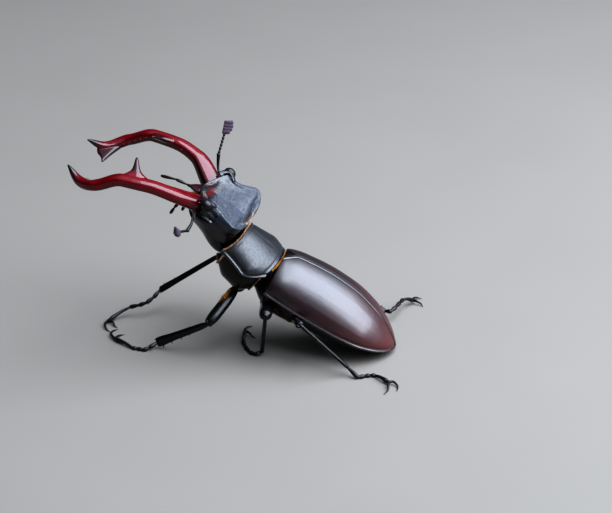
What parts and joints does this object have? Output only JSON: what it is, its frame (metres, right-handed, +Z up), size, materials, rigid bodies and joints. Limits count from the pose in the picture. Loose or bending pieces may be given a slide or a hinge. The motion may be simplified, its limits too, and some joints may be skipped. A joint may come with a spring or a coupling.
{
  "type": "stag beetle",
  "caption": "Life-size male stag beetle standing with its fore body raised, long toothed mandibles open and elbowed feelers held out.",
  "frame": {"origin": "centre of the bounding box in plan, on the floor the feet stand on", "axes": "+Z up, -Y towards the head and mandibles, +X towards the beetle's left side"},
  "size_m": [0.047, 0.075, 0.0462],
  "materials": {
    "elytra_shell": "satin gloss, dark chestnut",
    "dull_shell": "satin, very finely shagreened black",
    "mandible_shell": "high gloss, dark red with black tips",
    "eye_surface": "smooth gloss black",
    "club_down": "matt, covered with very short hairs",
    "foot_shell": "satin gloss, very dark brown",
    "black_shell": "glossy black"
  },
  "bodies": {
    "root": {"elytron_left": "elytra_shell", "elytron_right": "elytra_shell", "scutellum": "black_shell", "mesothorax": "black_shell", "metasternum": "black_shell", "abdomen": "black_shell", "pronotum": "dull_shell", "prosternum": "black_shell", "head": "dull_shell", "eye_left": "eye_surface", "eye_right": "eye_surface", "labrum": "mandible_shell", "mentum": "black_shell", "palp_maxillary_left": "foot_shell", "palp_maxillary_right": "foot_shell", "palp_labial_left": "foot_shell", "palp_labial_right": "foot_shell", "scape_left": "black_shell", "funicle_left": "black_shell", "club_left": "club_down", "scape_right": "black_shell", "funicle_right": "black_shell", "club_right": "club_down", "mandible_left": "mandible_shell", "mandible_right": "mandible_shell", "coxa_front_left": "black_shell", "femur_front_left": "black_shell", "tibia_front_left": "black_shell", "tarsus_front_left": "foot_shell", "claws_front_left": "foot_shell", "coxa_front_right": "black_shell", "femur_front_right": "black_shell", "tibia_front_right": "black_shell", "tarsus_front_right": "foot_shell", "claws_front_right": "foot_shell", "coxa_middle_left": "black_shell", "femur_middle_left": "black_shell", "tibia_middle_left": "black_shell", "tarsus_middle_left": "foot_shell", "claws_middle_left": "foot_shell", "coxa_middle_right": "black_shell", "femur_middle_right": "black_shell", "tibia_middle_right": "black_shell", "tarsus_middle_right": "foot_shell", "claws_middle_right": "foot_shell", "coxa_hind_left": "black_shell", "femur_hind_left": "black_shell", "tibia_hind_left": "black_shell", "tarsus_hind_left": "foot_shell", "claws_hind_left": "foot_shell", "coxa_hind_right": "black_shell", "femur_hind_right": "black_shell", "tibia_hind_right": "black_shell", "tarsus_hind_right": "foot_shell", "claws_hind_right": "foot_shell"}
  },
  "joints": []
}
